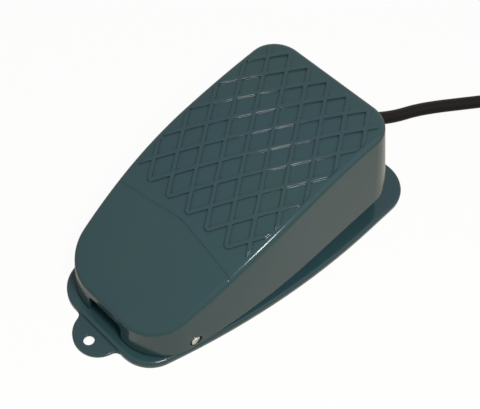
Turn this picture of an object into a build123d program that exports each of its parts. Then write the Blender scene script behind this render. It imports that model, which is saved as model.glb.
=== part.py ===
from build123d import *
from math import asin, atan2, cos, degrees, radians, sin, sqrt, tan
import os

# Foot switch: an arched metal pedal hinged at its low front end over a shallow base tray.
# +X runs towards the high end, where the lead leaves; +Z is up; the floor is z = 0.
# The hidden snap switch, its bracket, spring, stop and wiring stand on the base. Millimetres.

# Base tray
base_front = -65.75
base_rear = 75.5
base_half_width = 41.3
base_taper_start = 44.0
base_taper_radius = 350.0
base_front_corner = 14.0
base_rear_corner = 15.0
base_height = 3.0
base_wall = 1.4
base_edge_radius = 1.3
ear_center_x = -65.6
ear_radius = 9.9
ear_root_radius = 3.0
ear_hole_x = -70.5
ear_hole_radius = 2.1

# Pedal: a shell drawn from its own tilted plane, whose origin is the crown of the arch
pedal_pitch = 11.0
crown_x = 15.8
crown_z = 46.1
arch_radius = 223.0
pad_start = -46.1
pad_radius = 450.0
pedal_front = -78.3
pedal_rear = 41.8
pedal_half_width = 31.5
pedal_taper_start = -8.0
pedal_taper_radius = 280.0
pedal_front_corner = 16.0
pedal_rear_corner = 11.5
wall_draft = 8.7
wall_lean = 5.5
pedal_wall = 2.0
pedal_edge_radius = 2.2
skirt_front_z = 3.6
skirt_slope = 4.6
hollow_below_skirt = 15.0

# Tread: two crossing families of ribs on the arch
diamond_length = 15.52
diamond_width = 10.0
diamond_count_long = 5
diamond_count_across = 6
rib_width = 1.5
rib_height = 0.7
rib_margin = 2.4
rib_start_depth = 15.0

# Crease between the smooth front pad and the tread: a shallow pressed chevron
crease_apex = -41.9
crease_side = -46.2
crease_reach = 29.0
crease_tool_radius = 0.8
crease_depth = 0.35

# Notches in the skirt's two end walls
notch_walls_x = (-62.5, 68.5)
notch_depth = 9.0
notch_width = 17.5
notch_height = 8.75
notch_corner = 2.5

# Hinge
hinge_x = -44.5
hinge_z = 8.2
pin_radius = 2.0
pin_half_length = 30.0
pin_end_radius = 0.3
pin_clearance = 0.06
pin_recess_radius = 2.5
pin_recess_depth = 1.3
boss_radius = 4.2
boss_inner_y = 24.2
lug_outer_y = 23.6
lug_thickness = 1.6
lug_radius = 4.0
clip_thickness = 0.8
clip_radius = 4.0
clip_mouth = 2.6
clip_gap = 0.1
clip_groove_depth = 0.4

# Return spring
spring_x = -24.0
spring_mean_radius = 4.9
spring_wire_radius = 0.65
spring_turns = 6
cup_radius = 7.5
cup_thickness = 1.0
spigot_radius = 3.7
spigot_height = 3.5
spigot_edge_radius = 0.6
spring_top_z = 21.0
spring_boss_radius = 7.0

# Snap switch
switch_front = -13.0
switch_length = 27.8
switch_width = 10.3
switch_height = 15.9
switch_bottom_z = 8.5
switch_edge_radius = 0.5
cover_thickness = 1.6
switch_hole_radius = 1.6
switch_hole_rise = 10.3
switch_hole_inset = 2.8
button_inset = 19.0
button_radius = 1.4
button_clearance = 0.06
button_length = 8.0
button_gap = 0.35
lever_pivot_inset = 1.6
lever_pivot_rise = 1.5
lever_pin_radius = 0.7
lever_curl_radius = 1.35
lever_clearance = 0.06
lever_width = 5.0
lever_thickness = 0.6
lever_overshoot = 1.9
lever_tilt = 10.5
lever_tip_radius = 0.6
cheek_length = 2.9
cheek_thickness = 1.5
cheek_gap = 0.1
striker_inset = 6.0
striker_radius = 3.2
striker_gap = 0.25

# Terminals and wiring
terminal_width = 6.3
terminal_thickness = 0.8
terminal_length = 7.6
terminal_pitch = 4.25
terminal_first_rise = 3.0
terminal_hole_radius = 0.8
sleeve_length = 11.5
sleeve_width = 7.6
sleeve_height = 3.6
sleeve_gap = 0.4
core_radius = 1.1
core_side = 1.3
core_rise = 0.75
core_drop = 1.5
sheet_thickness = 0.4
sheet_margin = 1.0
earth_x = 30.0
earth_y = -24.0
ring_radius = 4.0
ring_thickness = 0.8
barrel_radius = 1.8
barrel_length = 5.0

# Bends of the three cores, with their distance behind the end of the terminals' sleeves
core_common_bends = ((7.8, 1.3, 9.15), (2.8, -0.8, 11.5))
core_switched_bends = ((7.5, -1.3, 9.15), (5.7, -1.9, 12.05), (4.7, -2.2, 15.95), (3.0, -0.8, 20.0))
core_earth_bends = ((7.3, 0.0, 6.9), (4.8, -6.0, 6.0), (3.3, -11.0, 4.8))

# Bracket, stop and their rivets
bracket_thickness = 1.5
bracket_foot = 12.0
bracket_rivet_inset = 5.0
stop_thickness = 1.5
stop_width = 12.0
stop_y = 20.0
stop_foot_length = 12.5
stop_riser_x = 46.5
stop_lip_length = 8.5
stop_top_z = 26.0
stop_gap = 0.2
stop_lug_thickness = 4.0
stop_lug_overlap = 4.0
stop_lug_width = 10.0
rivet_radius = 1.5
rivet_head_radius = 2.6
rivet_head_height = 1.0
stop_rivet_pitch = 6.4

# Screws
screw_radius = 1.5
screw_head_radius = 2.75
screw_head_height = 1.8
screw_tip_z = 0.6
driver_slot_width = 0.7
driver_slot_depth = 0.8
driver_slot_turn = 35.0
screw_end_spare = 0.8
nut_radius = 3.1
nut_height = 2.3

# Lead, its bush and its clamp
lead_radius = 2.9
lead_z = 8.4
lead_inner_spare = 10.3
lead_exit_x = 68.0
bush_post_x = 52.0
bush_post_thickness = 1.4
bush_post_width = 13.5
bush_post_top = 15.4
bush_post_corner = 3.0
bush_inner_end = 47.5
bush_sleeve_radius = 4.2
bush_flange_radius = 5.2
bush_flange_thickness = 1.3
bush_tail_end_radius = 3.5
bush_ring_count = 3
bush_ring_width = 1.0
bush_ring_depth = 0.5
clamp_x = 42.5
clamp_length = 7.0
clamp_wall = 1.6
clamp_ear = 6.0
clamp_ear_height = 2.0

# Route of the free lead, from the bush to the coil
lead_route = (
    (68.0, 0.0, 8.4),
    (74.5, 0.0, 8.4),
    (81.2, -1.3, 8.0),
    (87.6, -3.8, 7.0),
    (93.5, -7.6, 5.4),
    (100.5, -11.3, 3.8),
    (109.5, -15.3, 3.0),
    (119.0, -20.6, 2.9),
    (129.5, -27.1, 2.9),
    (142.0, -35.2, 2.9),
    (153.6, -42.5, 2.9),
    (165.4, -49.2, 2.9),
    (177.2, -54.7, 2.9),
    (189.4, -58.9, 2.9),
)

# Coil of the spare lead, in a lower and an upper layer
coil_lower_radii = (40.0, 34.2, 28.4, 22.6)
coil_upper_radii = (25.5, 31.3, 37.1)
coil_layer_rise = 5.0
coil_last_turn_angle = 230.0
coil_edge_radius = 1.5
coil_stub = 24.0
coil_stub_fit = 0.98
coil_stub_overlap = 1.0
coil_seam_turn = 90.0
tie_width = 6.0
tie_thickness = 0.7
tie_angle = 60.0
tail_angle = 48.0
ferrule_angle = 12.0
ferrule_radius = 0.8

os.makedirs("parts", exist_ok=True)


# Shared geometry

pedal_plane = Plane(
    origin=(crown_x, 0, crown_z),
    x_dir=(cos(radians(pedal_pitch)), 0, sin(radians(pedal_pitch))),
    z_dir=(-sin(radians(pedal_pitch)), 0, cos(radians(pedal_pitch))),
)


def row_point(u, v, w):
    """A point of the pedal's tilted plane, in the whole object's frame."""
    return pedal_plane.from_local_coords(Vector(u, v, w))


def side_point(u, w):
    """The same in the side view, as a local point of the XZ plane."""
    place = row_point(u, 0, w)
    return place.X, place.Z


def arch_w(u, lift=0.0):
    """The arch's height over the tilted plane at u, with the surface raised by lift."""
    return sqrt((arch_radius + lift) ** 2 - u**2) - arch_radius


def pad_w(u):
    """The height of the front pad, which carries on from the arch along a flatter arc."""
    slope = tan(asin(-pad_start / arch_radius))
    run = pad_start - u
    return arch_w(pad_start) - run * slope - run**2 / (2 * pad_radius)


def skirt_z(x):
    """The height of the skirt's lower edge at x."""
    return skirt_front_z + (x - base_front) * tan(radians(skirt_slope))


def tapering_plan(front, rear, half_width, taper_start, taper_radius, front_corner, rear_corner):
    """A plan with parallel sides at the rear that close in along one long arc to the front."""
    closing = taper_radius - sqrt(taper_radius**2 - (taper_start - front) ** 2)
    with BuildSketch() as plan:
        with BuildLine():
            end = Line((rear, 0), (rear, half_width))
            side = Line(end @ 1, (taper_start, half_width))
            arc = TangentArc(side @ 1, (front, half_width - closing), tangent=side % 1)
            Line(arc @ 1, (front, 0))
            Line((front, 0), (rear, 0))
        make_face()
        mirror(about=Plane.XZ)
        fillet(plan.vertices().group_by(Axis.X)[0], front_corner)
        fillet(plan.vertices().group_by(Axis.X)[-1], rear_corner)
    return plan.sketch


def base_plan():
    return tapering_plan(base_front, base_rear, base_half_width, base_taper_start,
                         base_taper_radius, base_front_corner, base_rear_corner)


def pedal_plan():
    return tapering_plan(pedal_front, pedal_rear, pedal_half_width, pedal_taper_start,
                         pedal_taper_radius, pedal_front_corner, pedal_rear_corner)


def pedal_form(inset=0.0, below=0.0):
    """The pedal as a solid, smaller all round by inset, with its lower end lower by below."""
    reach = 30.0
    depth = crown_z / cos(radians(pedal_pitch)) + reach
    far_end = pedal_rear + reach
    near_end = pedal_front - reach / 2
    with BuildPart() as form:
        with BuildSketch(pedal_plane):
            add(pedal_plan())
            if inset:
                offset(amount=-inset / cos(radians(wall_draft)))
        extrude(amount=depth, dir=(sin(radians(wall_lean)), 0, -cos(radians(wall_lean))),
                taper=-wall_draft)
        with BuildSketch(Plane.XZ):
            with BuildLine():
                join = side_point(pad_start, arch_w(pad_start))
                top = ThreePointArc(side_point(far_end, arch_w(far_end)), side_point(0, 0), join)
                pad = TangentArc(join, side_point(near_end, pad_w(near_end)), tangent=top % 1)
                low_front = ((pad @ 1).X, skirt_z((pad @ 1).X) - inset - below)
                low_rear = ((top @ 0).X, skirt_z((top @ 0).X) - inset - below)
                Polyline(pad @ 1, low_front, low_rear, top @ 0)
            make_face()
            if inset:
                offset(amount=-inset)
        extrude(amount=base_rear, both=True, mode=Mode.INTERSECT)
    return form.part


def corner_radii(points):
    """The largest even bend at each corner of a route that its two runs leave room for."""
    radii = []
    for before, corner, after in zip(points, points[1:], points[2:]):
        first = Vector(corner) - Vector(before)
        second = Vector(after) - Vector(corner)
        half_turn = radians(first.get_angle(second)) / 2
        radii.append(0.45 * min(first.length, second.length) / tan(half_turn))
    return radii


def tube(points, radius):
    """A round tube along a route of straight runs joined by tangent arcs."""
    with BuildPart() as run:
        with BuildLine() as path:
            FilletPolyline(*points, radius=corner_radii(points))
        with BuildSketch(Plane(origin=path.line @ 0, z_dir=path.line % 0)):
            Circle(radius)
        sweep()
    return run.part


def lying_cylinder(radius, start, end):
    """A cylinder between two points."""
    axis = Vector(end) - Vector(start)
    with BuildPart() as rod:
        with BuildSketch(Plane(origin=start, z_dir=axis)):
            Circle(radius)
        extrude(amount=axis.length)
    return rod.part


def write(piece, name):
    """Label a finished piece and save it."""
    piece.label = name
    export_step(piece, f"parts/{name}.step")


# Places worked out from the sizes above

plate_top = base_height
case_mid_y = -cover_thickness / 2
switch_top = switch_bottom_z + switch_height
switch_rear = switch_front + switch_length
switch_side = switch_width / 2
button_x = switch_front + button_inset
lever_pivot_x = switch_rear - lever_pivot_inset
lever_pivot_z = switch_top + lever_pivot_rise
striker_x = switch_front + striker_inset
lever_reach = (lever_pivot_x - striker_x + lever_overshoot) / cos(radians(lever_tilt))
bracket_outer_y = switch_side + bracket_thickness
stop_lug_top = stop_top_z - stop_thickness - stop_gap
stop_lip_rear = stop_riser_x + stop_lip_length
stop_foot_front = stop_riser_x - stop_foot_length
bracket_rivet_y = bracket_outer_y + bracket_foot / 2
bracket_rivets_at = [(switch_front + bracket_rivet_inset, bracket_rivet_y),
                     (switch_rear - bracket_rivet_inset, bracket_rivet_y)]
stop_rivet_x = stop_foot_front + stop_foot_length / 2
stop_rivets_at = [(stop_rivet_x, stop_y - stop_rivet_pitch / 2),
                  (stop_rivet_x, stop_y + stop_rivet_pitch / 2)]
clamp_screw_y = lead_radius + clamp_wall + clamp_ear / 2
clamp_screws_at = [(clamp_x, -clamp_screw_y), (clamp_x, clamp_screw_y)]
switch_screws_at = [
    (switch_front + switch_hole_inset, switch_bottom_z + switch_hole_inset),
    (switch_rear - switch_hole_inset, switch_bottom_z + switch_hole_inset + switch_hole_rise),
]
terminal_heights = [switch_bottom_z + terminal_first_rise + i * terminal_pitch for i in range(3)]
sleeve_start = switch_rear + sleeve_gap
sleeve_end = sleeve_start + sleeve_length
lead_inner_end = sleeve_end + lead_inner_spare


# Base tray, with its ear, hinge lugs and the post that holds the lead's bush

with BuildPart() as base_plate:
    with BuildSketch():
        add(base_plan())
    extrude(amount=base_height)
    fillet(base_plate.faces().sort_by(Axis.Z)[-1].edges(), base_edge_radius)
    with BuildSketch():
        add(base_plan())
        offset(amount=-base_wall)
    extrude(amount=base_height - base_wall, mode=Mode.SUBTRACT)
    with BuildSketch() as ear:
        add(base_plan())
        with Locations((ear_center_x, 0)):
            Circle(ear_radius)
        roots = ear.vertices().sort_by_distance((base_front, ear_radius))[:1]
        roots += ear.vertices().sort_by_distance((base_front, -ear_radius))[:1]
        fillet(roots, ear_root_radius)
        with Locations((base_front + base_wall, 0)):
            Rectangle(base_rear, 2 * base_rear, align=(Align.MAX, Align.CENTER), mode=Mode.INTERSECT)
    extrude(amount=base_wall)
    with Locations((ear_hole_x, 0, base_wall)):
        Hole(ear_hole_radius, depth=base_wall)
    for side in (-1, 1):
        with BuildSketch(Plane.XZ.offset(-side * (lug_outer_y - lug_thickness / 2))):
            with Locations((hinge_x, hinge_z)):
                Circle(lug_radius)
            with Locations((hinge_x, plate_top - base_wall / 2)):
                Rectangle(2 * lug_radius, hinge_z - plate_top + base_wall / 2,
                          align=(Align.CENTER, Align.MIN))
            with Locations((hinge_x, hinge_z)):
                Circle(pin_radius, mode=Mode.SUBTRACT)
        extrude(amount=lug_thickness / 2, both=True)
    with BuildSketch(Plane.YZ.offset(bush_post_x)) as post:
        with Locations((0, plate_top - base_wall / 2)):
            Rectangle(bush_post_width, bush_post_top - plate_top + base_wall / 2,
                      align=(Align.CENTER, Align.MIN))
        fillet(post.vertices().group_by(Axis.Z)[-1], bush_post_corner)
        with Locations((0, lead_z)):
            Circle(bush_sleeve_radius, mode=Mode.SUBTRACT)
    extrude(amount=bush_post_thickness)
    with Locations(*[(x, y, plate_top) for x, y in bracket_rivets_at + stop_rivets_at]):
        Hole(rivet_radius, depth=base_wall)
    with Locations(*[(x, y, plate_top) for x, y in clamp_screws_at + [(earth_x, earth_y)]]):
        Hole(screw_radius, depth=base_wall)
write(base_plate.part, "base_plate")


# Pedal: the shell, its tread, its crease, its notches and what is cast inside it

crease_lift = crease_tool_radius - crease_depth
crease_ends = [
    row_point(crease_side, side * crease_reach, pad_w(crease_side) + crease_lift) for side in (-1, 1)
]
crease_middle = row_point(crease_apex, 0, arch_w(crease_apex) + crease_lift)

with BuildPart() as tread:
    half_field = diamond_length * diamond_count_long / 2
    rib_angle = degrees(atan2(diamond_width, diamond_length))
    rib_length = 2 * diamond_length * diamond_count_long
    half_count = (diamond_count_long + diamond_count_across) // 2
    with BuildSketch(pedal_plane.offset(-rib_start_depth)):
        for i in range(-half_count, half_count):
            crossing = (i + 0.5) * diamond_width
            with Locations((0, crossing)):
                Rectangle(rib_length, rib_width, rotation=rib_angle)
                Rectangle(rib_length, rib_width, rotation=-rib_angle)
        add(offset(pedal_plan(), amount=-rib_margin, mode=Mode.PRIVATE), mode=Mode.INTERSECT)
        Rectangle(2 * half_field, diamond_width * diamond_count_across, mode=Mode.INTERSECT)
    extrude(amount=crown_z)
    with BuildSketch(Plane.XZ):
        with BuildLine():
            edge_drop = arch_w(half_field) - pedal_wall / 2
            top = ThreePointArc(side_point(half_field, arch_w(half_field, rib_height)),
                                side_point(0, rib_height),
                                side_point(-half_field, arch_w(-half_field, rib_height)))
            low = ThreePointArc(side_point(-half_field, edge_drop),
                                side_point(0, -pedal_wall / 2),
                                side_point(half_field, edge_drop))
            Line(top @ 1, low @ 0)
            Line(low @ 1, top @ 0)
        make_face()
    extrude(amount=pedal_half_width, both=True, mode=Mode.INTERSECT)

striker_z = (lever_pivot_z + lever_reach * sin(radians(lever_tilt))
             + lever_tip_radius + striker_gap)
with BuildPart() as pedal_fittings:
    for side in (-1, 1):
        add(lying_cylinder(boss_radius, (hinge_x, side * boss_inner_y, hinge_z),
                           (hinge_x, side * pedal_half_width, hinge_z)))
    with BuildSketch(Plane.XY.offset(spring_top_z)):
        with Locations((spring_x, 0)):
            Circle(spring_boss_radius)
    extrude(amount=crown_z - spring_top_z)
    with BuildSketch(Plane.XY.offset(striker_z)):
        with Locations((striker_x, 0)):
            Circle(striker_radius)
    extrude(amount=crown_z - striker_z)
    with BuildSketch(Plane.XY.offset(stop_lug_top - stop_lug_thickness)):
        with Locations((stop_lip_rear - stop_lug_overlap, stop_y)):
            Rectangle(base_rear, stop_lug_width, align=(Align.MIN, Align.CENTER))
    extrude(amount=stop_lug_thickness)
    add(pedal_form(pedal_wall / 2, pedal_wall / 2), mode=Mode.INTERSECT)

with BuildPart() as pedal:
    add(pedal_form())
    seam_x = side_point(pad_start, arch_w(pad_start))[0]
    top_edges = ShapeList()
    for face in pedal.faces().filter_by(lambda face: face.normal_at().Z > 0.8):
        top_edges += face.edges()
    fillet(top_edges.filter_by(lambda edge: abs(edge.center().X - seam_x) > pedal_wall
                               or abs(edge.center().Y) > pedal_wall), pedal_edge_radius)
    add(pedal_form(pedal_wall, hollow_below_skirt), mode=Mode.SUBTRACT)
    add(pedal_fittings.part)
    add(tread.part)
    with BuildSketch(Plane.XY.offset(spring_top_z - spigot_height)):
        with Locations((spring_x, 0)):
            Circle(spigot_radius)
    extrude(amount=spigot_height)
    for end in crease_ends:
        add(lying_cylinder(crease_tool_radius, crease_middle, end), mode=Mode.SUBTRACT)
    add(lying_cylinder(pin_radius + pin_clearance, (hinge_x, -base_half_width, hinge_z),
                       (hinge_x, base_half_width, hinge_z)), mode=Mode.SUBTRACT)
    for side in (-1, 1):
        add(lying_cylinder(pin_recess_radius, (hinge_x, side * (pin_half_length - pin_recess_depth), hinge_z),
                           (hinge_x, side * base_half_width, hinge_z)), mode=Mode.SUBTRACT)
    for wall_x in notch_walls_x:
        with BuildSketch(Plane.YZ.offset(wall_x)) as notch:
            Rectangle(notch_width, skirt_z(wall_x) + notch_height, align=(Align.CENTER, Align.MIN))
            fillet(notch.vertices().group_by(Axis.Z)[-1], notch_corner)
        extrude(amount=notch_depth, both=True, mode=Mode.SUBTRACT)
write(pedal.part, "pedal")


# Hinge pin and its spring clips

lug_inner_y = lug_outer_y - lug_thickness
clip_far_y = lug_inner_y - clip_gap
with BuildPart() as hinge_pin:
    with BuildSketch(Plane.XZ.offset(-pin_half_length)):
        with Locations((hinge_x, hinge_z)):
            Circle(pin_radius)
    extrude(amount=2 * pin_half_length)
    fillet(hinge_pin.edges().filter_by(GeomType.CIRCLE), pin_end_radius)
    for side in (-1, 1):
        with BuildSketch(Plane.XZ.offset(-side * (clip_far_y - clip_thickness / 2))):
            with Locations((hinge_x, hinge_z)):
                Circle(2 * pin_radius)
                Circle(pin_radius - clip_groove_depth, mode=Mode.SUBTRACT)
        extrude(amount=clip_thickness / 2, both=True, mode=Mode.SUBTRACT)
write(hinge_pin.part, "hinge_pin")

with BuildPart() as pin_clips:
    for side in (-1, 1):
        with BuildSketch(Plane.XZ.offset(-side * (clip_far_y - clip_thickness / 2))):
            with Locations((hinge_x, hinge_z)):
                Circle(clip_radius)
                Circle(pin_radius - clip_groove_depth, mode=Mode.SUBTRACT)
                Rectangle(clip_mouth, 2 * clip_radius, align=(Align.CENTER, Align.MIN),
                          mode=Mode.SUBTRACT)
        extrude(amount=clip_thickness / 2, both=True)
write(pin_clips.part, "pin_clips")


# Return spring and the cup that centres it on the base

cup_top = plate_top + cup_thickness
with BuildPart() as spring_cup:
    with BuildSketch(Plane.XY.offset(plate_top)):
        with Locations((spring_x, 0)):
            Circle(cup_radius)
    extrude(amount=cup_thickness)
    with BuildSketch(Plane.XY.offset(cup_top)):
        with Locations((spring_x, 0)):
            Circle(spigot_radius)
    extrude(amount=spigot_height)
    fillet(spring_cup.faces().sort_by(Axis.Z)[-1].edges(), spigot_edge_radius)
write(spring_cup.part, "spring_cup")

with BuildPart() as return_spring:
    coil_height = spring_top_z - cup_top - 2 * spring_wire_radius
    with BuildLine(Plane((spring_x, 0, cup_top + spring_wire_radius))):
        spring_line = Helix(pitch=coil_height / spring_turns, height=coil_height,
                            radius=spring_mean_radius)
    with BuildSketch(Plane(origin=spring_line @ 0, z_dir=spring_line % 0)):
        Circle(spring_wire_radius)
    sweep(path=spring_line, is_frenet=True)
    # The end turns are ground flat where they seat
    with BuildSketch(Plane.XY.offset(cup_top)):
        with Locations((spring_x, 0)):
            Circle(2 * spring_mean_radius)
    extrude(amount=spring_top_z - cup_top, mode=Mode.INTERSECT)
write(return_spring.part, "return_spring")


# Snap switch: moulded case with a flat cover, plunger, and a roller-free lever on a pin

def switch_holes(radius, low_y, high_y):
    """The two fixing holes through the switch, as one solid."""
    with BuildPart() as holes:
        for x, z in switch_screws_at:
            add(lying_cylinder(radius, (x, low_y, z), (x, high_y, z)))
    return holes.part


with BuildPart() as switch_case:
    with BuildSketch(Plane.XY.offset(switch_bottom_z)):
        with Locations((switch_front, -switch_side)):
            Rectangle(switch_length, switch_width - cover_thickness, align=(Align.MIN, Align.MIN))
    extrude(amount=switch_height)
    fillet(switch_case.edges().filter_by(Axis.Z).group_by(Axis.Y)[0], switch_edge_radius)
    with BuildSketch(Plane.XZ.offset(-case_mid_y)):
        with Locations((lever_pivot_x, switch_top)):
            Rectangle(cheek_length, lever_pivot_rise, align=(Align.CENTER, Align.MIN))
        with Locations((lever_pivot_x, lever_pivot_z)):
            Circle(cheek_length / 2)
            Circle(lever_pin_radius, mode=Mode.SUBTRACT)
    extrude(amount=lever_width / 2 + cheek_gap + cheek_thickness, both=True)
    with BuildSketch(Plane.XZ.offset(-case_mid_y)):
        with Locations((lever_pivot_x, switch_top)):
            Rectangle(2 * cheek_length, 2 * cheek_length, align=(Align.CENTER, Align.MIN))
    extrude(amount=lever_width / 2 + cheek_gap, both=True, mode=Mode.SUBTRACT)
    with Locations((button_x, case_mid_y, switch_top)):
        Hole(button_radius + button_clearance, depth=button_length)
    add(switch_holes(switch_hole_radius, -switch_width, switch_width), mode=Mode.SUBTRACT)
write(switch_case.part, "switch_case")

with BuildPart() as switch_cover:
    with BuildSketch(Plane.XZ.offset(-switch_side)):
        with Locations((switch_front, switch_bottom_z)):
            Rectangle(switch_length, switch_height, align=(Align.MIN, Align.MIN))
    extrude(amount=cover_thickness)
    fillet(switch_cover.edges().filter_by(Axis.Z).group_by(Axis.Y)[-1], switch_edge_radius)
    add(switch_holes(switch_hole_radius, -switch_width, switch_width), mode=Mode.SUBTRACT)
write(switch_cover.part, "switch_cover")

lever_slope = tan(radians(lever_tilt))
lever_half_drop = lever_thickness / 2 / cos(radians(lever_tilt))
button_top = lever_pivot_z + (lever_pivot_x - button_x) * lever_slope - lever_half_drop - button_gap
with BuildPart() as switch_button:
    with BuildSketch(Plane.XY.offset(button_top - button_length)):
        with Locations((button_x, case_mid_y)):
            Circle(button_radius)
    extrude(amount=button_length)
    fillet(switch_button.faces().sort_by(Axis.Z)[-1].edges(), button_radius / 2)
write(switch_button.part, "switch_button")

with BuildPart() as switch_lever:
    with BuildSketch(Plane.XZ.offset(-case_mid_y)):
        with Locations((lever_pivot_x, lever_pivot_z)):
            Circle(lever_curl_radius)
        with Locations(Location((lever_pivot_x, lever_pivot_z), -lever_tilt)):
            Rectangle(lever_reach, lever_thickness, align=(Align.MAX, Align.CENTER))
            with Locations((-lever_reach, 0)):
                Circle(lever_tip_radius)
        with Locations((lever_pivot_x, lever_pivot_z)):
            Circle(lever_pin_radius + lever_clearance, mode=Mode.SUBTRACT)
    extrude(amount=lever_width / 2, both=True)
write(switch_lever.part, "switch_lever")

lever_pin_half = lever_width / 2 + cheek_gap + cheek_thickness
write(lying_cylinder(lever_pin_radius, (lever_pivot_x, case_mid_y - lever_pin_half, lever_pivot_z),
                     (lever_pivot_x, case_mid_y + lever_pin_half, lever_pivot_z)), "lever_pin")


# Terminals at the rear end of the switch, and the sleeves over the two that are used

for name, z in zip(("terminal_common", "terminal_closed", "terminal_open"), terminal_heights):
    with BuildPart() as terminal:
        with BuildSketch(Plane.XY.offset(z - terminal_thickness / 2)) as tab:
            with Locations((switch_rear, case_mid_y)):
                Rectangle(terminal_length, terminal_width, align=(Align.MIN, Align.CENTER))
            chamfer(tab.vertices().group_by(Axis.X)[-1], terminal_thickness)
            with Locations((switch_rear + terminal_length / 2, case_mid_y)):
                Circle(terminal_hole_radius, mode=Mode.SUBTRACT)
        extrude(amount=terminal_thickness)
    write(terminal.part, name)

tab_end = switch_rear + terminal_length
with BuildPart() as terminal_sleeves:
    for z in (terminal_heights[0], terminal_heights[-1]):
        with BuildSketch(Plane.YZ.offset(sleeve_start)) as section:
            with Locations((case_mid_y, z)):
                RectangleRounded(sleeve_width, sleeve_height, sleeve_height / 4)
        extrude(amount=sleeve_length)
        with BuildSketch(Plane.YZ.offset(sleeve_start)):
            with Locations((case_mid_y, z)):
                Rectangle(terminal_width, terminal_thickness)
        extrude(amount=tab_end - sleeve_start, mode=Mode.SUBTRACT)
        add(lying_cylinder(core_radius, (tab_end, case_mid_y, z),
                           (sleeve_end, case_mid_y, z)), mode=Mode.SUBTRACT)
write(terminal_sleeves.part, "terminal_sleeves")


# Bracket that carries the switch, with its screws, nuts and rivets

with BuildPart() as switch_bracket:
    with BuildSketch(Plane.YZ.offset(switch_front)):
        with Locations((switch_side, plate_top)):
            Rectangle(bracket_thickness, switch_top - plate_top, align=(Align.MIN, Align.MIN))
            Rectangle(bracket_thickness + bracket_foot, bracket_thickness,
                      align=(Align.MIN, Align.MIN))
    extrude(amount=switch_length)
    inner_corner = switch_bracket.edges().filter_by(Axis.X).sort_by_distance(
        (0, bracket_outer_y, plate_top + bracket_thickness))[0]
    fillet(inner_corner, bracket_thickness / 2)
    add(switch_holes(switch_hole_radius, 0, 2 * switch_width), mode=Mode.SUBTRACT)
    with Locations(*[(x, y, plate_top + bracket_thickness) for x, y in bracket_rivets_at]):
        Hole(rivet_radius, depth=bracket_thickness)
write(switch_bracket.part, "switch_bracket")

with BuildPart() as switch_screws:
    for x, z in switch_screws_at:
        add(lying_cylinder(screw_head_radius, (x, -switch_side - screw_head_height, z),
                           (x, -switch_side, z)))
        add(lying_cylinder(screw_radius, (x, -switch_side, z),
                           (x, bracket_outer_y + nut_height + screw_end_spare, z)))
        with BuildSketch(Plane.XZ.offset(switch_side + screw_head_height)):
            with Locations((x, z)):
                Rectangle(2 * screw_head_radius, driver_slot_width)
        extrude(amount=-driver_slot_depth, mode=Mode.SUBTRACT)
write(switch_screws.part, "switch_screws")

with BuildPart() as switch_nuts:
    for x, z in switch_screws_at:
        with BuildSketch(Plane.XZ.offset(-bracket_outer_y)):
            with Locations((x, z)):
                RegularPolygon(nut_radius, 6)
                Circle(screw_radius, mode=Mode.SUBTRACT)
        extrude(amount=-nut_height)
write(switch_nuts.part, "switch_nuts")


def rivets(places, carried_thickness):
    """Rivets through the tray and the foot of a bracket, closed on both sides."""
    low = plate_top - base_wall
    high = plate_top + carried_thickness
    with BuildPart() as row:
        for x, y in places:
            add(lying_cylinder(rivet_radius, (x, y, low), (x, y, high)))
            add(lying_cylinder(rivet_head_radius, (x, y, low - rivet_head_height), (x, y, low)))
            with BuildSketch(Plane.XY.offset(high)):
                with Locations((x, y)):
                    Circle(rivet_head_radius)
            extrude(amount=rivet_head_height)
        fillet(row.faces().group_by(Axis.Z)[-1].edges(), rivet_head_height * 0.6)
    return row.part


write(rivets(bracket_rivets_at, bracket_thickness), "bracket_rivets")


# Stop that the pedal's lug comes up against

with BuildPart() as pedal_stop:
    with BuildSketch(Plane.XZ.offset(-stop_y)):
        with Locations((stop_foot_front, plate_top)):
            Rectangle(stop_foot_length, stop_thickness, align=(Align.MIN, Align.MIN))
        with Locations((stop_riser_x, plate_top)):
            Rectangle(stop_thickness, stop_top_z - plate_top, align=(Align.MIN, Align.MIN))
        with Locations((stop_riser_x, stop_top_z)):
            Rectangle(stop_lip_length, stop_thickness, align=(Align.MIN, Align.MAX))
    extrude(amount=stop_width / 2, both=True)
    outer_bend = pedal_stop.edges().filter_by(Axis.Y).sort_by_distance(
        (stop_riser_x, stop_y, stop_top_z))[0]
    fillet(outer_bend, stop_thickness * 0.8)
    with Locations(*[(x, y, plate_top + stop_thickness) for x, y in stop_rivets_at]):
        Hole(rivet_radius, depth=stop_thickness)
write(pedal_stop.part, "pedal_stop")
write(rivets(stop_rivets_at, stop_thickness), "stop_rivets")


# Insulating sheet under the switch

with BuildPart() as insulating_sheet:
    with BuildSketch(Plane.XY.offset(plate_top)):
        with Locations((switch_front, switch_side)):
            Rectangle(sleeve_end - switch_front, switch_width + 2 * sheet_margin,
                      align=(Align.MIN, Align.MAX))
    extrude(amount=sheet_thickness)
write(insulating_sheet.part, "insulating_sheet")


# Lead inside the housing, its bush and its clamp

with BuildPart() as lead_sheath:
    add(lying_cylinder(lead_radius, (lead_inner_end, 0, lead_z), (lead_exit_x, 0, lead_z)))
write(lead_sheath.part, "lead_sheath")

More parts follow.
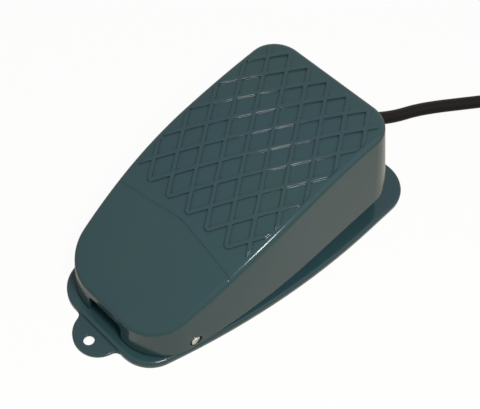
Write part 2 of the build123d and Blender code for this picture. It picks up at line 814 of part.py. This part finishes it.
post_rear = bush_post_x + bush_post_thickness
tail_start = post_rear + bush_flange_thickness
with BuildPart() as lead_bush:
    with BuildSketch(Plane.XZ):
        with BuildLine():
            Polyline(
                (bush_inner_end, lead_z),
                (bush_inner_end, lead_z + bush_sleeve_radius),
                (bush_post_x - bush_flange_thickness, lead_z + bush_sleeve_radius),
                (bush_post_x - bush_flange_thickness, lead_z + bush_flange_radius),
                (bush_post_x, lead_z + bush_flange_radius),
                (bush_post_x, lead_z + bush_sleeve_radius),
                (post_rear, lead_z + bush_sleeve_radius),
                (post_rear, lead_z + bush_flange_radius),
                (tail_start, lead_z + bush_flange_radius),
                (tail_start, lead_z + bush_sleeve_radius),
                (lead_exit_x, lead_z + bush_tail_end_radius),
                (lead_exit_x, lead_z),
                close=True,
            )
        make_face()
        ring_pitch = (lead_exit_x - tail_start) / (bush_ring_count + 1)
        for i in range(bush_ring_count):
            with Locations((tail_start + (i + 1) * ring_pitch, lead_z + lead_radius + bush_ring_depth)):
                Rectangle(bush_ring_width, bush_sleeve_radius, align=(Align.CENTER, Align.MIN),
                          mode=Mode.SUBTRACT)
    revolve(axis=Axis((0, 0, lead_z), (1, 0, 0)))
    add(lying_cylinder(lead_radius, (bush_inner_end, 0, lead_z), (lead_exit_x, 0, lead_z)),
        mode=Mode.SUBTRACT)
write(lead_bush.part, "lead_bush")

clamp_half_length = clamp_length / 2
with BuildPart() as cable_clamp:
    with BuildSketch(Plane.YZ.offset(clamp_x - clamp_half_length)):
        with Locations((0, lead_z)):
            Circle(lead_radius + clamp_wall)
        with Locations((0, plate_top)):
            Rectangle(2 * (lead_radius + clamp_wall), lead_z - plate_top,
                      align=(Align.CENTER, Align.MIN))
            Rectangle(2 * (lead_radius + clamp_wall + clamp_ear), clamp_ear_height,
                      align=(Align.CENTER, Align.MIN))
        with Locations((0, lead_z)):
            Circle(lead_radius, mode=Mode.SUBTRACT)
    extrude(amount=clamp_length)
    with Locations(*[(x, y, plate_top + clamp_ear_height) for x, y in clamp_screws_at]):
        Hole(screw_radius, depth=clamp_ear_height)
write(cable_clamp.part, "cable_clamp")


def base_screws(places, head_seat_z):
    """Slotted screws driven down into the tray."""
    with BuildPart() as screws:
        for x, y in places:
            add(lying_cylinder(screw_radius, (x, y, screw_tip_z), (x, y, head_seat_z)))
            with BuildSketch(Plane.XY.offset(head_seat_z)):
                with Locations((x, y)):
                    Circle(screw_head_radius)
            extrude(amount=screw_head_height)
            with BuildSketch(Plane.XY.offset(head_seat_z + screw_head_height)):
                with Locations((x, y)):
                    Rectangle(2 * screw_head_radius, driver_slot_width, rotation=driver_slot_turn)
            extrude(amount=-driver_slot_depth, mode=Mode.SUBTRACT)
    return screws.part


write(base_screws(clamp_screws_at, plate_top + clamp_ear_height), "clamp_screws")
write(base_screws([(earth_x, earth_y)], plate_top + ring_thickness), "earth_screw")


# Earth ring and the three cores inside the housing

barrel_z = plate_top + barrel_radius
barrel_start_y = earth_y + ring_radius
with BuildPart() as earth_ring:
    with BuildSketch(Plane.XY.offset(plate_top)):
        with Locations((earth_x, earth_y)):
            Circle(ring_radius)
            Rectangle(2 * barrel_radius, ring_radius + barrel_length / 2,
                      align=(Align.CENTER, Align.MIN))
            Circle(screw_radius, mode=Mode.SUBTRACT)
    extrude(amount=ring_thickness)
    add(lying_cylinder(barrel_radius, (earth_x, barrel_start_y, barrel_z),
                       (earth_x, barrel_start_y + barrel_length, barrel_z)))
    add(lying_cylinder(core_radius, (earth_x, barrel_start_y, barrel_z),
                       (earth_x, barrel_start_y + barrel_length, barrel_z)), mode=Mode.SUBTRACT)
write(earth_ring.part, "earth_ring")


def behind_sleeves(bends):
    """The bends' places in the frame."""
    return [(sleeve_end + back, y, z) for back, y, z in bends]


core_tab_x = tab_end + core_radius
write(tube([
    (lead_inner_end, core_side, lead_z + core_rise),
    *behind_sleeves(core_common_bends),
    (core_tab_x, case_mid_y, terminal_heights[0]),
], core_radius), "core_common")
write(tube([
    (lead_inner_end, -core_side, lead_z + core_rise),
    *behind_sleeves(core_switched_bends),
    (core_tab_x, case_mid_y, terminal_heights[-1]),
], core_radius), "core_switched")
write(tube([
    (lead_inner_end, 0, lead_z - core_drop),
    *behind_sleeves(core_earth_bends),
    (earth_x, barrel_start_y + core_radius, barrel_z),
], core_radius), "core_earth")


# Free lead: a tube along its route, then the coil of what is spare

lead_path = [Vector(point) for point in lead_route]
last_run = (lead_path[-1] - lead_path[-2]).normalized()
write(tube(lead_route, lead_radius), "lead")

coil_entry = lead_path[-1] + last_run * coil_stub
to_center = Vector(-last_run.Y, last_run.X, 0)
coil_center = coil_entry + to_center * coil_lower_radii[0]
coil_axis = Axis((coil_center.X, coil_center.Y, 0), (0, 0, 1))
entry_angle = degrees(atan2(-to_center.Y, -to_center.X))
upper_z = lead_radius + coil_layer_rise
lower_inner = coil_lower_radii[-1] - lead_radius
lower_outer = coil_lower_radii[0] + lead_radius
upper_inner = coil_upper_radii[0] - lead_radius
upper_outer = coil_upper_radii[1] + lead_radius
coil_top = upper_z + lead_radius


def radial_plane(angle):
    """The upright plane through the coil's axis whose x direction points at an angle."""
    out = (cos(radians(angle)), sin(radians(angle)), 0)
    return Plane(origin=(coil_center.X, coil_center.Y, 0), x_dir=out,
                 z_dir=(out[1], -out[0], 0))


with BuildPart() as coil_tie:
    loop_width = lower_outer - lower_inner
    with BuildSketch(radial_plane(tie_angle)):
        with Locations(((lower_inner + lower_outer) / 2, coil_top / 2)):
            RectangleRounded(loop_width, coil_top, coil_edge_radius)
            RectangleRounded(loop_width - 2 * tie_thickness, coil_top - 2 * tie_thickness,
                             coil_edge_radius - tie_thickness / 2, mode=Mode.SUBTRACT)
    extrude(amount=tie_width / 2, both=True)
write(coil_tie.part, "coil_tie")

upper_last = coil_upper_radii[-1] + lead_radius
with BuildPart() as lead_coil:
    with BuildSketch(radial_plane(entry_angle + coil_seam_turn)):
        with Locations((lower_inner, 0)):
            Rectangle(lower_outer - lower_inner, 2 * lead_radius, align=(Align.MIN, Align.MIN))
        with Locations((upper_inner, coil_top)):
            Rectangle(upper_outer - upper_inner, coil_top - lead_radius,
                      align=(Align.MIN, Align.MAX))
    revolve(axis=coil_axis)
    with BuildSketch(radial_plane(entry_angle)):
        with Locations((upper_outer - lead_radius, coil_top)):
            Rectangle(upper_last - upper_outer + lead_radius, coil_top - 2 * lead_radius,
                      align=(Align.MIN, Align.MAX))
    revolve(axis=coil_axis, revolution_arc=coil_last_turn_angle)
    add(lying_cylinder(lead_radius * coil_stub_fit, lead_path[-1],
                       coil_entry + last_run * coil_stub_overlap))
    add(coil_tie.part, mode=Mode.SUBTRACT)
write(lead_coil.part, "lead_coil")


# The lead's bare end: three cores with tinned ferrules, over the lower turns

def tail_arc(start_angle, arc, radius):
    """Three cores that carry on along the last turn, from an angle onwards."""
    with BuildPart() as cores:
        with BuildSketch(radial_plane(start_angle)):
            with Locations((coil_upper_radii[-1], upper_z + core_drop),
                           (coil_upper_radii[-1] - core_side, upper_z - core_rise),
                           (coil_upper_radii[-1] + core_side, upper_z - core_rise)):
                Circle(radius)
        revolve(axis=coil_axis, revolution_arc=arc)
    return cores.part


sheath_end_angle = entry_angle + coil_last_turn_angle
write(tail_arc(sheath_end_angle, tail_angle, core_radius), "bare_cores")
write(tail_arc(sheath_end_angle + tail_angle, ferrule_angle, ferrule_radius), "core_ferrules")
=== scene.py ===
from math import atan2, cos, radians, sin, sqrt

import bpy
from mathutils import Matrix, Vector


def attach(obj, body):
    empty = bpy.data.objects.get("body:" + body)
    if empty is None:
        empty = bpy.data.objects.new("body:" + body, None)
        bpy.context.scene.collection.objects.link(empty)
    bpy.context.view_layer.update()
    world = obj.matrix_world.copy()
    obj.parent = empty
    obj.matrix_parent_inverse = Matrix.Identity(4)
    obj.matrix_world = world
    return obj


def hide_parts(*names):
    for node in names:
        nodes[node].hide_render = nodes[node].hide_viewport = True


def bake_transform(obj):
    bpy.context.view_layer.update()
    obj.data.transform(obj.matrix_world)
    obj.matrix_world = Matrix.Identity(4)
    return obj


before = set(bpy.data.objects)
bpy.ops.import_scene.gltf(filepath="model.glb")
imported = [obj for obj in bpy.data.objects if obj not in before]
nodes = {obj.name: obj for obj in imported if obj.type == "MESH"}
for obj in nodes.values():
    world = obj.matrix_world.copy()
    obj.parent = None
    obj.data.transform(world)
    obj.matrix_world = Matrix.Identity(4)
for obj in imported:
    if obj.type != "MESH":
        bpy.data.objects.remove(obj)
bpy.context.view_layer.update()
MM = 0.001


# Camera: the photograph's viewpoint, in millimetres of the frame

CAMERA_PLACE = (-144.41, -119.31, 292.3)
CAMERA_FORWARD = (0.4484, 0.3487, -0.8230)
CAMERA_UP = (0.5634, 0.6045, 0.5631)
LENS_MM = 63.75
SENSOR_MM = 36.0


def add_camera():
    """A camera that stands where the photograph was taken."""
    forward = Vector(CAMERA_FORWARD).normalized()
    right = forward.cross(Vector(CAMERA_UP)).normalized()
    up = right.cross(forward)
    data = bpy.data.cameras.new("camera")
    data.lens = LENS_MM
    data.sensor_width = SENSOR_MM
    data.clip_start = 0.01
    camera = bpy.data.objects.new("camera", data)
    turn = Matrix((right, up, -forward)).transposed().to_4x4()
    camera.matrix_world = Matrix.Translation(Vector(CAMERA_PLACE) * MM) @ turn
    bpy.context.collection.objects.link(camera)
    bpy.context.scene.camera = camera


# The free lead: the route's points, then its coil

LEAD_RADIUS = 2.9
LEAD_ROUTE = (
    (68.0, 0.0, 8.4),
    (74.5, 0.0, 8.4),
    (81.2, -2.3, 7.5),
    (87.6, -5.5, 5.9),
    (93.5, -8.6, 4.4),
    (100.5, -11.8, 3.3),
    (109.5, -15.3, 3.0),
    (119.0, -20.8, 2.9),
    (129.5, -27.9, 2.9),
    (142.0, -36.3, 2.9),
    (153.6, -43.1, 2.9),
    (165.4, -49.2, 2.9),
    (177.2, -54.7, 2.9),
    (189.4, -58.9, 2.9),
)
COIL_STUB = 24.0
COIL_LOWER_RADII = (40.0, 34.2, 28.4, 22.6)
COIL_UPPER_RADII = (25.5, 31.3, 37.1)
COIL_LAYER_RISE = 5.0
COIL_LAST_TURN = 230
COIL_STEP = 10
SHIFT_START = 185
SHIFT_END = 350
CLIMB_START = 190
CLIMB_FROM = 180
CLIMB_TO = 60
TAIL_TURN = 48
TAIL_STEP = 4
CORE_RADIUS = 1.1
CORE_SIDE = 1.3
CORE_RISE = 0.75
CORE_DROP = 1.5
FERRULE_TURN = 12
FERRULE_RADIUS = 0.8
CURVE_STEPS = 6

route_end = Vector(LEAD_ROUTE[-1])
last_run = (route_end - Vector(LEAD_ROUTE[-2])).normalized()
coil_entry = route_end + last_run * COIL_STUB
to_center = Vector((-last_run.y, last_run.x, 0))
coil_center = coil_entry + to_center * COIL_LOWER_RADII[0]
entry_angle = atan2(-to_center.y, -to_center.x)


def eased(start, end, value):
    """0 before start, 1 after end and a smooth step between them."""
    share = min(max((value - start) / (end - start), 0), 1)
    return share * share * (3 - 2 * share)


def coil_point(radius, height, turned):
    """A point of the coil at a radius and height, after it has turned so many degrees."""
    angle = entry_angle + radians(turned)
    # A control point stands a little outside the arc that it draws
    reach = radius * 4 / (3 + cos(radians(COIL_STEP)))
    return Vector((coil_center.x + reach * cos(angle), coil_center.y + reach * sin(angle), height))


def lower_turn_radius(turn, shift):
    """The radius of a turn of the lower layer, which shifts inwards near its end."""
    following = COIL_LOWER_RADII[min(turn + 1, len(COIL_LOWER_RADII) - 1)]
    return COIL_LOWER_RADII[turn] + (following - COIL_LOWER_RADII[turn]) * shift


def coil_points():
    """The coil's turns: four on the floor from outside in, then three on them from inside out."""
    points = []
    lower_count = len(COIL_LOWER_RADII)
    whole_turns = lower_count + len(COIL_UPPER_RADII) - 1
    end = whole_turns * 360 + COIL_LAST_TURN
    for turned in range(0, end + 1, COIL_STEP):
        turn, within = divmod(turned, 360)
        shift = eased(SHIFT_START, SHIFT_END, within)
        if turn < lower_count - 1:
            points.append(coil_point(lower_turn_radius(turn, shift), LEAD_RADIUS, turned))
        elif turn == lower_count - 1:
            # The innermost turn climbs over the one beside it
            climbed = eased(CLIMB_START, SHIFT_END, within)
            climb = radians(CLIMB_FROM + (CLIMB_TO - CLIMB_FROM) * climbed)
            beside = lower_turn_radius(turn - 1, shift)
            radius = beside + 2 * LEAD_RADIUS * cos(climb)
            points.append(coil_point(radius, LEAD_RADIUS * (1 + 2 * sin(climb)), turned))
        else:
            upper = turn - lower_count
            following = COIL_UPPER_RADII[min(upper + 1, len(COIL_UPPER_RADII) - 1)]
            radius = COIL_UPPER_RADII[upper] + (following - COIL_UPPER_RADII[upper]) * shift
            lean = min(abs(radius - lower_turn_radius(k, shift)) for k in range(lower_count))
            lift = sqrt(4 * LEAD_RADIUS**2 - min(lean, LEAD_RADIUS) ** 2)
            points.append(coil_point(radius, LEAD_RADIUS + max(lift, COIL_LAYER_RISE), turned))
    return points, end


def add_tube(name, points, radius, sides=6):
    """A round tube on one smooth spline with these control points, in millimetres."""
    data = bpy.data.curves.new(name, "CURVE")
    data.dimensions = "3D"
    data.bevel_depth = radius * MM
    data.bevel_resolution = sides
    data.resolution_u = CURVE_STEPS
    data.use_fill_caps = True
    spline = data.splines.new("NURBS")
    spline.points.add(len(points) - 1)
    for knot, point in zip(spline.points, points):
        knot.co = (*(Vector(point) * MM), 1)
    spline.order_u = 3
    spline.use_endpoint_u = True
    tube = bpy.data.objects.new(name, data)
    bpy.context.collection.objects.link(tube)
    return tube


# Materials

COAT_ROUGHNESS = 0.06
MOTTLE_DETAIL = 3.0
MOTTLE_LOW_END = 0.3
MOTTLE_HIGH_END = 0.7
BUMP_DETAIL = 2.0
ROUNDING_SAMPLES = 8
# Painted shade in corners: its samples, and the occlusion values where it is full and where it ends
CORNER_SHADE_SAMPLES = 8
CORNER_SHADE_FULL = 0.35
CORNER_SHADE_NONE = 0.85
STRIPE_SCALE = 160.0
STRIPE_START = 0.6
GRAIN_HEIGHT = 0.0001


def new_material(name, color, roughness, metallic=0.0, specular=0.5, coat=0.0):
    """A principled material, its shader node and a function that adds further nodes to it."""
    material = bpy.data.materials.new(name)
    material.use_nodes = True
    shader = material.node_tree.nodes["Principled BSDF"]
    shader.inputs["Base Color"].default_value = (*color, 1)
    shader.inputs["Roughness"].default_value = roughness
    shader.inputs["Metallic"].default_value = metallic
    shader.inputs["Specular IOR Level"].default_value = specular
    shader.inputs["Coat Weight"].default_value = coat
    shader.inputs["Coat Roughness"].default_value = COAT_ROUGHNESS

    def add(kind, **values):
        node = material.node_tree.nodes.new(kind)
        for key, value in values.items():
            if key in node.inputs:
                node.inputs[key].default_value = value
            else:
                setattr(node, key, value)
        return node

    return material, shader, add


def link(material, source, socket, target, target_socket):
    """Join two nodes of a material."""
    material.node_tree.links.new(source.outputs[socket], target.inputs[target_socket])


def mottle(material, shader, add, low, high, scale):
    """Colour that drifts between two shades over the surface."""
    place = add("ShaderNodeTexCoord")
    noise = add("ShaderNodeTexNoise", Scale=scale, Detail=MOTTLE_DETAIL)
    ramp = add("ShaderNodeValToRGB")
    ramp.color_ramp.elements[0].color = (*low, 1)
    ramp.color_ramp.elements[0].position = MOTTLE_LOW_END
    ramp.color_ramp.elements[1].color = (*high, 1)
    ramp.color_ramp.elements[1].position = MOTTLE_HIGH_END
    link(material, place, "Object", noise, "Vector")
    link(material, noise, "Fac", ramp, "Fac")
    link(material, ramp, "Color", shader, "Base Color")
    return place


def bumps(material, shader, add, place, scale, strength, distance, rounding=0.0):
    """Small unevenness of the surface, with its sharp edges rounded by so many metres."""
    noise = add("ShaderNodeTexNoise", Scale=scale, Detail=BUMP_DETAIL)
    bump = add("ShaderNodeBump", Strength=strength, Distance=distance)
    link(material, place, "Object", noise, "Vector")
    link(material, noise, "Fac", bump, "Height")
    if rounding:
        rounded = add("ShaderNodeBevel", samples=ROUNDING_SAMPLES, Radius=rounding)
        link(material, rounded, "Normal", bump, "Normal")
    link(material, bump, "Normal", shader, "Normal")
    link(material, bump, "Normal", shader, "Coat Normal")


def paint_corner_shade(material, shader, add, reach, darkest_shade):
    """Painted shade: less colour in grooves and inner corners that are narrower than reach, in metres,
    where shade falls.
    """
    paint = shader.inputs["Base Color"].links[0].from_socket
    # Ambient occlusion sets the painted shade: the more closed in a point is, the darker its colour
    shade_mask = add("ShaderNodeAmbientOcclusion", samples=CORNER_SHADE_SAMPLES, Distance=reach)
    ramp = add("ShaderNodeValToRGB")
    ramp.color_ramp.elements[0].color = (darkest_shade, darkest_shade, darkest_shade, 1)
    ramp.color_ramp.elements[0].position = CORNER_SHADE_FULL
    ramp.color_ramp.elements[1].position = CORNER_SHADE_NONE
    shade = add("ShaderNodeMix", data_type="RGBA", blend_type="MULTIPLY")
    shade.inputs["Factor"].default_value = 1.0
    link(material, shade_mask, "AO", ramp, "Fac")
    material.node_tree.links.new(paint, shade.inputs["A"])
    material.node_tree.links.new(ramp.outputs["Color"], shade.inputs["B"])
    material.node_tree.links.new(shade.outputs["Result"], shader.inputs["Base Color"])


def enamel():
    """Glossy teal-grey stoving enamel that fills corners and rounds edges, with painted shade in its
    grooves and inner corners.
    """
    material, shader, add = new_material("enamel", (0.021, 0.053, 0.06), roughness=0.2,
                                         specular=0.15, coat=0.22)
    place = mottle(material, shader, add, low=(0.022, 0.056, 0.057), high=(0.02, 0.05, 0.064), scale=22)
    bumps(material, shader, add, place, scale=420, strength=0.05, distance=0.0003, rounding=0.0006)
    # Painted shade darkens the colour at the feet of the ribs and in other narrow corners
    paint_corner_shade(material, shader, add, reach=0.0016, darkest_shade=0.45)
    return material


def shaded(color, share):
    """A darker shade of a colour."""
    return tuple(value * share for value in color)


def metal(name, color, roughness):
    """Bare or plated steel or brass with a fine grain."""
    material, shader, add = new_material(name, color, roughness, metallic=1.0)
    place = mottle(material, shader, add, low=shaded(color, 0.85), high=color, scale=300)
    bumps(material, shader, add, place, scale=900, strength=0.12, distance=GRAIN_HEIGHT)
    return material


def moulded(name, color, roughness, specular=0.4):
    """Moulded plastic or rubber with a fine matt grain."""
    material, shader, add = new_material(name, color, roughness, specular=specular)
    place = mottle(material, shader, add, low=shaded(color, 0.8), high=color, scale=180)
    bumps(material, shader, add, place, scale=1400, strength=0.15, distance=GRAIN_HEIGHT)
    return material


def two_colour_core(name, first, second):
    """Core insulation with a second colour along one side."""
    material, shader, add = new_material(name, first, roughness=0.45)
    place = add("ShaderNodeTexCoord")
    wave = add("ShaderNodeTexWave", Scale=STRIPE_SCALE, Distortion=0.0)
    ramp = add("ShaderNodeValToRGB")
    ramp.color_ramp.interpolation = "CONSTANT"
    ramp.color_ramp.elements[0].color = (*first, 1)
    ramp.color_ramp.elements[1].color = (*second, 1)
    ramp.color_ramp.elements[1].position = STRIPE_START
    link(material, place, "Object", wave, "Vector")
    link(material, wave, "Fac", ramp, "Fac")
    link(material, ramp, "Color", shader, "Base Color")
    return material


enamel_coat = enamel()
bright_steel = metal("bright_steel", (0.62, 0.6, 0.55), 0.28)
spring_steel = metal("spring_steel", (0.33, 0.33, 0.34), 0.35)
zinc_plate = metal("zinc_plate", (0.58, 0.6, 0.62), 0.4)
tinned_brass = metal("tinned_brass", (0.72, 0.7, 0.64), 0.35)
bright_brass = metal("bright_brass", (0.72, 0.52, 0.22), 0.32)
black_phenolic = moulded("black_phenolic", (0.022, 0.022, 0.022), 0.35)
brown_phenolic = moulded("brown_phenolic", (0.07, 0.035, 0.02), 0.4)
red_nylon = moulded("red_nylon", (0.45, 0.03, 0.02), 0.4)
milky_sleeve = moulded("milky_sleeve", (0.6, 0.6, 0.56), 0.3)
pressboard = moulded("pressboard", (0.22, 0.16, 0.09), 0.75)
lead_rubber = moulded("lead_rubber", (0.006, 0.0045, 0.0038), 0.45, specular=0.14)
bush_rubber = moulded("bush_rubber", (0.012, 0.012, 0.012), 0.55)
black_nylon = moulded("black_nylon", (0.02, 0.02, 0.02), 0.4)
core_brown = moulded("core_brown", (0.12, 0.045, 0.02), 0.4)
core_blue = moulded("core_blue", (0.02, 0.08, 0.32), 0.4)
core_earth = two_colour_core("core_earth", (0.12, 0.35, 0.04), (0.7, 0.6, 0.03))

MATERIAL_OF = {
    "base_plate": enamel_coat,
    "pedal": enamel_coat,
    "hinge_pin": bright_steel,
    "pin_clips": spring_steel,
    "spring_cup": zinc_plate,
    "return_spring": spring_steel,
    "switch_case": black_phenolic,
    "switch_cover": brown_phenolic,
    "switch_button": red_nylon,
    "switch_lever": spring_steel,
    "lever_pin": bright_steel,
    "terminal_common": tinned_brass,
    "terminal_closed": tinned_brass,
    "terminal_open": tinned_brass,
    "terminal_sleeves": milky_sleeve,
    "switch_bracket": zinc_plate,
    "switch_screws": zinc_plate,
    "switch_nuts": zinc_plate,
    "bracket_rivets": zinc_plate,
    "pedal_stop": zinc_plate,
    "stop_rivets": zinc_plate,
    "insulating_sheet": pressboard,
    "lead_sheath": lead_rubber,
    "lead_bush": bush_rubber,
    "cable_clamp": black_nylon,
    "clamp_screws": zinc_plate,
    "earth_screw": bright_brass,
    "earth_ring": tinned_brass,
    "core_common": core_brown,
    "core_switched": core_blue,
    "core_earth": core_earth,
    "coil_tie": black_nylon,
}


def dress_cad_nodes():
    """Each CAD node that shows gets its own material."""
    for name, material in MATERIAL_OF.items():
        for place in nodes[name].material_slots:
            place.material = material


# The lead and its bare end

def give(piece, material):
    """The piece gets its material and its slot, and rides on the base."""
    piece.data.materials.append(material)
    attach(piece, "base")


def add_lead():
    """The whole free lead as one cord, with three bare cores and their ferrules."""
    turns, turned = coil_points()
    lead = add_tube("free_lead", list(LEAD_ROUTE) + turns, LEAD_RADIUS)
    give(lead, lead_rubber)
    middle = COIL_UPPER_RADII[-1]
    upper = LEAD_RADIUS + COIL_LAYER_RISE
    tails = (
        ("core_tail_earth", core_earth, "core_green", middle, upper + CORE_DROP),
        ("core_tail_common", core_brown, "core_brown", middle - CORE_SIDE, upper - CORE_RISE),
        ("core_tail_switched", core_blue, "core_blue", middle + CORE_SIDE, upper - CORE_RISE),
    )
    for name, material, slot, radius, height in tails:
        start = turned - COIL_STEP
        bare_from = turned + TAIL_TURN
        points = [coil_point(radius, height, angle) for angle in range(start, bare_from + 1, TAIL_STEP)]
        core = add_tube(name, points, CORE_RADIUS)
        give(core, material)
        points = [coil_point(radius, height, bare_from + step)
                  for step in range(-1, FERRULE_TURN + 1)]
        ferrule = add_tube(name.replace("core_tail", "ferrule"), points, FERRULE_RADIUS)
        give(ferrule, tinned_brass)
    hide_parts("lead", "lead_coil")
    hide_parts("bare_cores")
    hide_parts("core_ferrules")


# The return spring

SPRING_X = -24.0
SPRING_BOTTOM = 4.0
SPRING_TOP = 21.0
SPRING_RADIUS = 4.9
SPRING_WIRE_RADIUS = 0.65
SPRING_TURNS = 6
SPRING_STEP = 15
SPRING_WIRE_SIDES = 4


def add_return_spring():
    """A coil spring with ground ends."""
    first = SPRING_BOTTOM + SPRING_WIRE_RADIUS
    rise = SPRING_TOP - SPRING_BOTTOM - 2 * SPRING_WIRE_RADIUS
    last = SPRING_TURNS * 360
    points = []
    for turned in range(0, last + 1, SPRING_STEP):
        angle = radians(turned)
        points.append((SPRING_X + SPRING_RADIUS * cos(angle), SPRING_RADIUS * sin(angle),
                       first + rise * turned / last))
    wire = add_tube("spring_wire", points, SPRING_WIRE_RADIUS, sides=SPRING_WIRE_SIDES)
    bpy.context.view_layer.update()
    whole_scene = bpy.context.evaluated_depsgraph_get()
    mesh = bpy.data.meshes.new_from_object(wire.evaluated_get(whole_scene))
    bpy.data.objects.remove(wire)
    for corner in mesh.vertices:
        corner.co.z = min(max(corner.co.z, SPRING_BOTTOM * MM), SPRING_TOP * MM)
    mesh.materials.clear()
    spring = bpy.data.objects.new("coil_spring", mesh)
    bpy.context.collection.objects.link(spring)
    spring.data.materials.append(spring_steel)
    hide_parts("return_spring")
    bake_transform(spring)


# Floor, world and lights

FLOOR_TINT = (0.46, 0.41, 0.33)
FLOOR_PAPER = (0.76, 0.72, 0.64)
FLOOR_GLOW = 0.95
FLOOR_SIDE = 8
FLOOR_HEIGHT = -0.0002
SKY_LOW_END = (0.38, 0.43, 0.47)
SKY_HIGH_END = (0.28, 0.24, 0.17)
SKY_SPREAD = 0.5
LAMP_TARGET = (0, 0, 0.02)


def background_rays(tree):
    """1 for the rays that show the background, also in a mirroring or a clear surface."""
    rays = tree.nodes.new("ShaderNodeLightPath")
    share = rays.outputs["Is Camera Ray"]
    for kind in ("Is Glossy Ray", "Is Transmission Ray"):
        either = tree.nodes.new("ShaderNodeMath")
        either.operation = "MAXIMUM"
        tree.links.new(share, either.inputs[0])
        tree.links.new(rays.outputs[kind], either.inputs[1])
        share = either.outputs["Value"]
    return share


def add_floor():
    """A wide pale floor: near white to the camera, where it keeps a light shadow of the object."""
    bpy.ops.mesh.primitive_plane_add(size=FLOOR_SIDE, location=(0, 0, FLOOR_HEIGHT))
    floor = bpy.context.object
    floor.name = "floor"
    material, shader, add = new_material("floor_pale", FLOOR_TINT, roughness=0.9, specular=0.1)
    output = material.node_tree.nodes["Material Output"]
    matt = add("ShaderNodeBsdfDiffuse", Color=(*FLOOR_PAPER, 1))
    glow = add("ShaderNodeEmission", Color=(1, 1, 1, 1), Strength=1.0)
    rays = add("ShaderNodeLightPath")
    glowing = add("ShaderNodeMath", operation="MULTIPLY")
    glowing.inputs[1].default_value = FLOOR_GLOW
    seen = add("ShaderNodeMixShader")
    whole = add("ShaderNodeMixShader")
    link(material, rays, "Is Camera Ray", glowing, 0)
    link(material, glowing, "Value", seen, "Fac")
    link(material, matt, "BSDF", seen, 1)
    link(material, glow, "Emission", seen, 2)
    material.node_tree.links.new(background_rays(material.node_tree), whole.inputs["Fac"])
    link(material, shader, "BSDF", whole, 1)
    link(material, seen, "Shader", whole, 2)
    link(material, whole, "Shader", output, "Surface")
    floor.data.materials.append(material)


def set_world():
    """A plain soft light all round, a little warmer from the high end, and white to the camera."""
    world = bpy.data.worlds.new("world")
    bpy.context.scene.world = world
    world.use_nodes = True
    tree = world.node_tree
    place = tree.nodes.new("ShaderNodeTexCoord")
    parts = tree.nodes.new("ShaderNodeSeparateXYZ")
    share = tree.nodes.new("ShaderNodeMapRange")
    share.inputs["From Min"].default_value = -SKY_SPREAD
    share.inputs["From Max"].default_value = SKY_SPREAD
    ramp = tree.nodes.new("ShaderNodeValToRGB")
    ramp.color_ramp.elements[0].color = (*SKY_LOW_END, 1)
    ramp.color_ramp.elements[1].color = (*SKY_HIGH_END, 1)
    white = tree.nodes.new("ShaderNodeBackground")
    white.inputs["Color"].default_value = (1, 1, 1, 1)
    whole = tree.nodes.new("ShaderNodeMixShader")
    tree.links.new(place.outputs["Generated"], parts.inputs["Vector"])
    tree.links.new(parts.outputs["X"], share.inputs["Value"])
    tree.links.new(share.outputs["Result"], ramp.inputs["Fac"])
    tree.links.new(ramp.outputs["Color"], tree.nodes["Background"].inputs["Color"])
    tree.links.new(background_rays(tree), whole.inputs["Fac"])
    tree.links.new(tree.nodes["Background"].outputs["Background"], whole.inputs[1])
    tree.links.new(white.outputs["Background"], whole.inputs[2])
    tree.links.new(whole.outputs["Shader"], tree.nodes["World Output"].inputs["Surface"])


def add_lamp(name, place, size, power, color=(1, 1, 1)):
    """A square soft light aimed at the object, in metres and watts."""
    data = bpy.data.lights.new(name, "AREA")
    data.size = size
    data.energy = power
    data.color = color
    lamp = bpy.data.objects.new(name, data)
    aim = Vector(LAMP_TARGET) - Vector(place)
    lamp.location = place
    lamp.rotation_euler = aim.to_track_quat("-Z", "Y").to_euler()
    bpy.context.collection.objects.link(lamp)


add_camera()
add_lead()
add_return_spring()
dress_cad_nodes()
add_floor()
set_world()
add_lamp("flash", (-0.075, -0.152, 0.335), size=0.07, power=1.06)
add_lamp("fill", (0.35, -0.5, 0.6), size=0.6, power=0.55, color=(1, 0.93, 0.8))

bpy.context.scene.view_settings.view_transform = "Standard"
